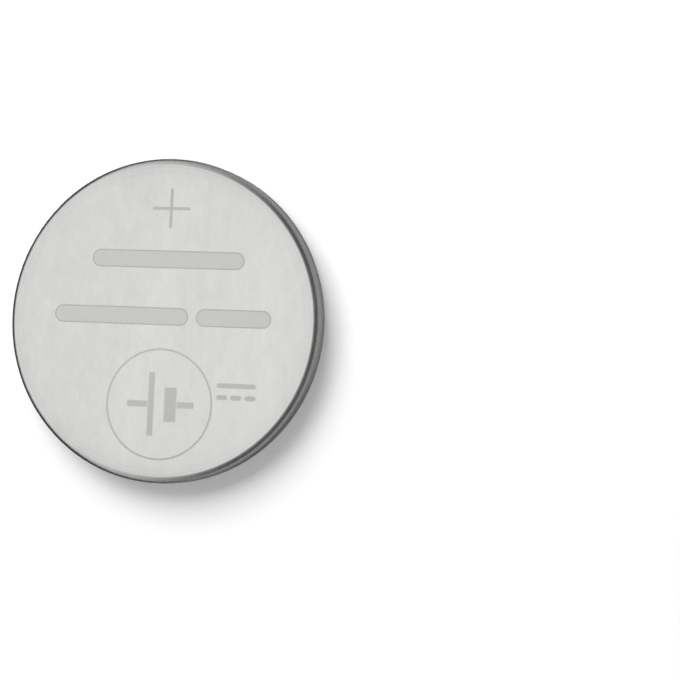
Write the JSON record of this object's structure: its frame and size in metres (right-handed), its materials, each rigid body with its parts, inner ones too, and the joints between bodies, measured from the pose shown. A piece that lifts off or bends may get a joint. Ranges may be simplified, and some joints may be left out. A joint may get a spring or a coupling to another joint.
{
  "type": "lithium coin cell",
  "caption": "Flat round lithium battery: a steel can rolled over a black gasket round a dimpled negative cap, with the electrodes stacked inside.",
  "frame": {"origin": "middle of the negative contact face, at the bottom of the cell as it lies", "axes": "+Z out through the positive face, along the cell's axis; +Y from the middle towards the plus sign on the positive face"},
  "size_m": [0.02, 0.02, 0.0025],
  "materials": {
    "can_steel": "nickel-plated stainless steel, satin",
    "gasket_plastic": "black moulded polypropylene with sealant",
    "cap_steel": "nickel-plated stainless steel, bright, with a dimpled face",
    "lithium": "soft silvery lithium foil",
    "separator_cloth": "white non-woven polypropylene",
    "cathode_powder": "pressed black manganese dioxide and carbon powder",
    "ring_steel": "thin stainless steel"
  },
  "bodies": {
    "root": {"positive_can": "can_steel", "gasket": "gasket_plastic", "negative_cap": "cap_steel", "lithium_anode": "lithium", "separator": "separator_cloth", "cathode_pellet": "cathode_powder", "cathode_ring": "ring_steel"}
  },
  "joints": []
}
